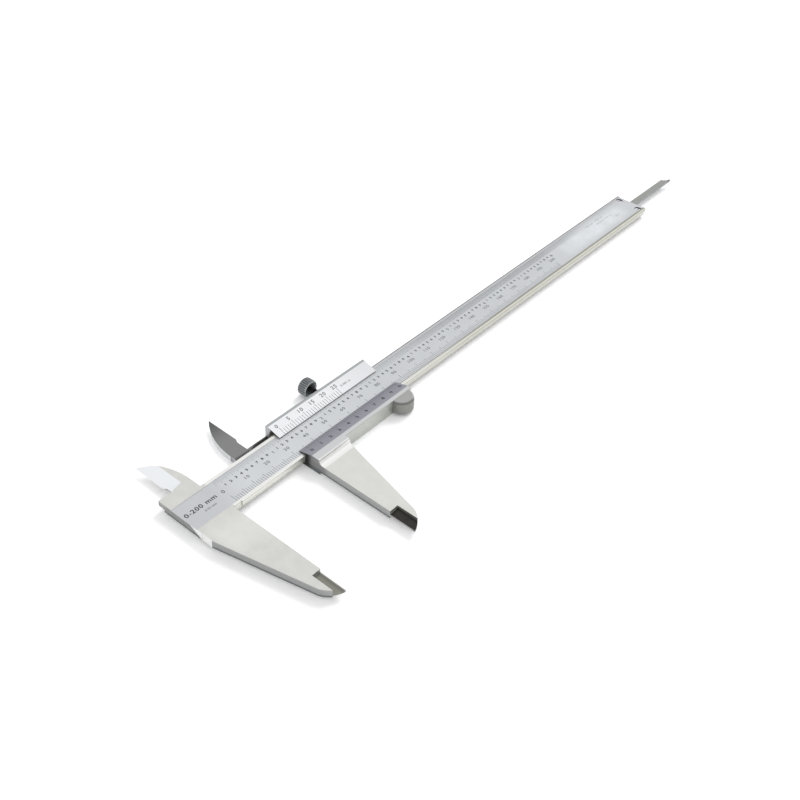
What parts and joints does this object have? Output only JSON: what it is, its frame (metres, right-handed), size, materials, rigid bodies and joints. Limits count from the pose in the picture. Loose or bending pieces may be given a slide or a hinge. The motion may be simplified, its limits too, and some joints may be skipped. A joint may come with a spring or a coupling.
{
  "type": "vernier caliper",
  "caption": "Vernier caliper with a sliding jaw, outside and inside jaws, two vernier scales, a clamp screw, a thumb rest and a depth rod.",
  "frame": {"origin": "middle of the parallel part of the fixed outside jaw's measuring face, at half the beam's thickness", "axes": "+X along the beam, from the fixed measuring face towards the depth rod's end; +Y across the beam, from the outside jaws towards the inside jaws; +Z out of the front, which carries the scales"},
  "size_m": [0.3238, 0.0925, 0.0071],
  "materials": {
    "beam_steel": "satin chrome plated scale channel, ground jaws and polished rails",
    "slider_steel": "satin chrome plated and ground",
    "rod_steel": "ground",
    "thumb_steel": "satin, with worn bright edges",
    "dark_steel": "blackened, knurled on the clamp screw",
    "screw_steel": "turned",
    "bronze": "rolled"
  },
  "bodies": {
    "beam": {"main_beam": "beam_steel", "end_stop": "rod_steel", "end_stop_screws": "screw_steel"},
    "slide": {"slider": "slider_steel", "gib_strip": "bronze", "leaf_spring": "bronze", "gib_set_screws": "dark_steel", "depth_rod": "rod_steel", "depth_rod_pins": "screw_steel", "thumb_rest": "thumb_steel", "thumb_rest_pins": "screw_steel"},
    "pad": {"clamp_pad": "bronze"},
    "clamp": {"clamp_screw": "dark_steel"}
  },
  "joints": [
    {"name": "jaw_slide", "type": "slide", "parent": "beam", "child": "slide", "axis": [1, 0, 0], "range_m": [-0.035, 0.172]},
    {"name": "clamp_feed", "type": "slide", "parent": "slide", "child": "pad", "axis": [0, 1, 0], "range_m": [-0.0001, 0.0015]},
    {"name": "clamp_turn", "type": "hinge", "parent": "pad", "child": "clamp", "pos_m": [0.0639, 0.04215, 0.00055], "axis": [0, 1, 0], "range_deg": [-73, 1081]}
  ],
  "couplings": [
    {"joint": "clamp_turn", "follows": "clamp_feed", "rad_per_m": 12566}
  ]
}
